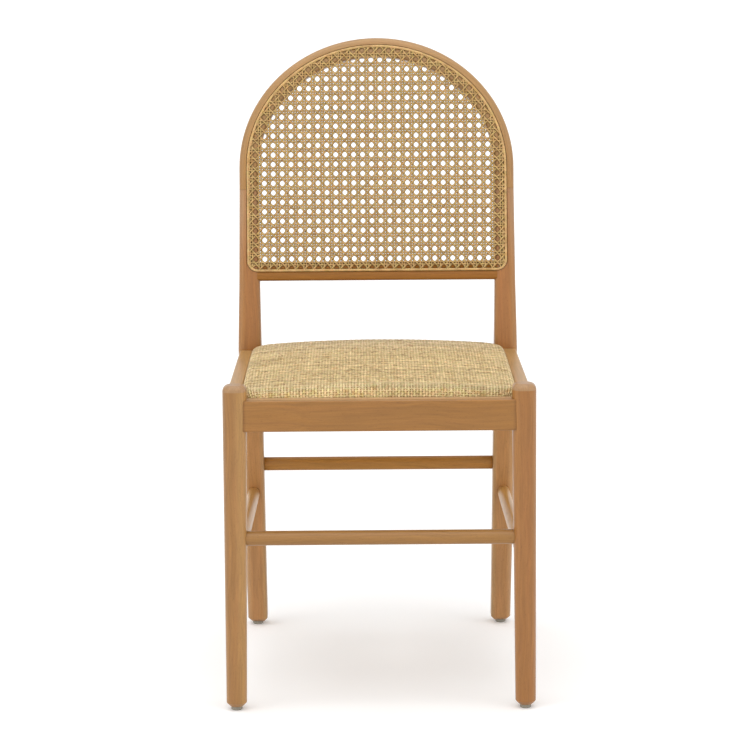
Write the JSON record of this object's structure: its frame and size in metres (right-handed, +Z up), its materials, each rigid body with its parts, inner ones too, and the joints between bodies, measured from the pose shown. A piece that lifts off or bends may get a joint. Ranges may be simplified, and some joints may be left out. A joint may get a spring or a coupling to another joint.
{
  "type": "dining chair",
  "caption": "Dining chair with a bent beech frame, an arched back filled with open woven cane, and a drop-in seat covered in closely woven cane.",
  "frame": {"origin": "on the floor, under the middle of the chair's bounding box", "axes": "the chair faces -Y, +X is to the right of someone who looks at its front, +Z is up"},
  "size_m": [0.4298, 0.4854, 0.8916],
  "materials": {
    "beech": "satin clear lacquer",
    "peg_beech": "bare",
    "cane": "natural glossy cane skin",
    "cane_spline": "smooth",
    "seat_cane": "natural, closely woven",
    "plywood": "bare",
    "foam": "matte",
    "steel": "zinc-plated",
    "glide_plastic": "matte"
  },
  "bodies": {
    "root": {"arch_dowel_left": "peg_beech", "arch_dowel_right": "peg_beech", "back_arch": "beech", "back_cane": "cane", "back_lower_rail": "beech", "back_spline": "cane_spline", "corner_block_front_left": "beech", "corner_block_front_right": "beech", "corner_block_rear_left": "beech", "corner_block_rear_right": "beech", "cross_rail_screw_front_left": "steel", "cross_rail_screw_front_right": "steel", "cross_rail_screw_rear_left": "steel", "cross_rail_screw_rear_right": "steel", "cross_rail_tenon_front_left": "peg_beech", "cross_rail_tenon_front_right": "peg_beech", "cross_rail_tenon_rear_left": "peg_beech", "cross_rail_tenon_rear_right": "peg_beech", "front_leg_left": "beech", "front_leg_right": "beech", "front_seat_rail": "beech", "front_stretcher": "beech", "front_stretcher_dowel_left": "peg_beech", "front_stretcher_dowel_right": "peg_beech", "glide_front_left": "glide_plastic", "glide_front_right": "glide_plastic", "glide_rear_left": "glide_plastic", "glide_rear_right": "glide_plastic", "lower_rail_dowel_left": "peg_beech", "lower_rail_dowel_right": "peg_beech", "rear_post_left": "beech", "rear_post_right": "beech", "rear_seat_rail": "beech", "rear_stretcher": "beech", "rear_stretcher_dowel_left": "peg_beech", "rear_stretcher_dowel_right": "peg_beech", "seat_board": "plywood", "seat_cover": "seat_cane", "seat_pad": "foam", "seat_screw_front_left": "steel", "seat_screw_front_right": "steel", "seat_screw_rear_left": "steel", "seat_screw_rear_right": "steel", "side_rail_screw_front_left": "steel", "side_rail_screw_front_right": "steel", "side_rail_screw_rear_left": "steel", "side_rail_screw_rear_right": "steel", "side_rail_tenon_front_left": "peg_beech", "side_rail_tenon_front_right": "peg_beech", "side_rail_tenon_rear_left": "peg_beech", "side_rail_tenon_rear_right": "peg_beech", "side_seat_rail_left": "beech", "side_seat_rail_right": "beech", "side_stretcher_dowel_front_left": "peg_beech", "side_stretcher_dowel_front_right": "peg_beech", "side_stretcher_dowel_rear_left": "peg_beech", "side_stretcher_dowel_rear_right": "peg_beech", "side_stretcher_left": "beech", "side_stretcher_right": "beech"}
  },
  "joints": []
}
